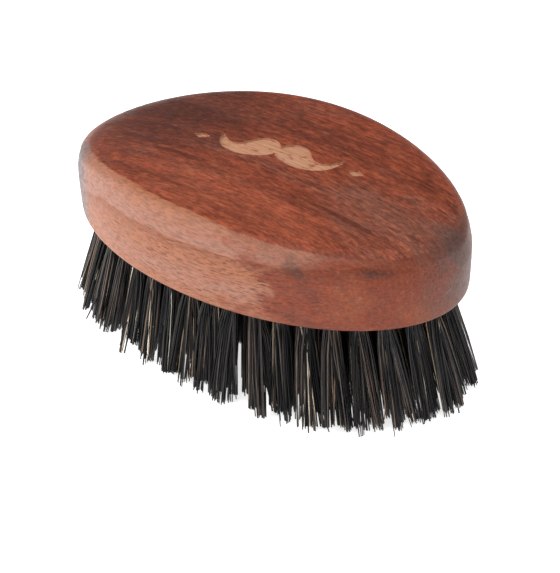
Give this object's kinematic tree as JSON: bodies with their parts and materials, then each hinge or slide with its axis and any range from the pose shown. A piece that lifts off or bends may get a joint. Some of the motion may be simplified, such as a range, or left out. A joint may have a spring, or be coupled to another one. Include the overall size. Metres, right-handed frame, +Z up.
{
  "type": "beard brush",
  "caption": "Palm-size oval beard brush: a crowned one-piece wooden back with rows of stiff bristle tufts set in drilled holes.",
  "frame": {"origin": "middle of the bounding box, on the plane of the trimmed bristle tips", "axes": "+Z up from the bristle tips through the wooden back, +X along the back, +Y across it"},
  "size_m": [0.0912, 0.0518, 0.0395],
  "materials": {
    "stained_wood": "reddish-brown stained beech, thin satin oil finish, ornament cut through to pale bare wood",
    "bristle": "stiff natural bristle, black to dark brown with a few cream hairs, soft sheen along the hair",
    "anchor_wire": "flat steel staple wire, hidden at the bottom of each hole"
  },
  "bodies": {
    "root": {"wooden_back": "stained_wood", "outer_tuft_01": "bristle", "outer_tuft_02": "bristle", "outer_tuft_03": "bristle", "outer_tuft_04": "bristle", "outer_tuft_05": "bristle", "outer_tuft_06": "bristle", "outer_tuft_07": "bristle", "outer_tuft_08": "bristle", "outer_tuft_09": "bristle", "outer_tuft_10": "bristle", "outer_tuft_11": "bristle", "outer_tuft_12": "bristle", "outer_tuft_13": "bristle", "outer_tuft_14": "bristle", "outer_tuft_15": "bristle", "outer_tuft_16": "bristle", "outer_tuft_17": "bristle", "outer_tuft_18": "bristle", "outer_tuft_19": "bristle", "outer_tuft_20": "bristle", "outer_tuft_21": "bristle", "outer_tuft_22": "bristle", "outer_tuft_23": "bristle", "outer_tuft_24": "bristle", "outer_tuft_25": "bristle", "outer_tuft_26": "bristle", "outer_tuft_27": "bristle", "outer_tuft_28": "bristle", "outer_tuft_29": "bristle", "outer_tuft_30": "bristle", "outer_tuft_31": "bristle", "outer_tuft_32": "bristle", "outer_tuft_33": "bristle", "outer_tuft_34": "bristle", "outer_tuft_35": "bristle", "outer_tuft_36": "bristle", "outer_tuft_37": "bristle", "outer_tuft_38": "bristle", "inner_tufts": "bristle"}
  },
  "joints": []
}
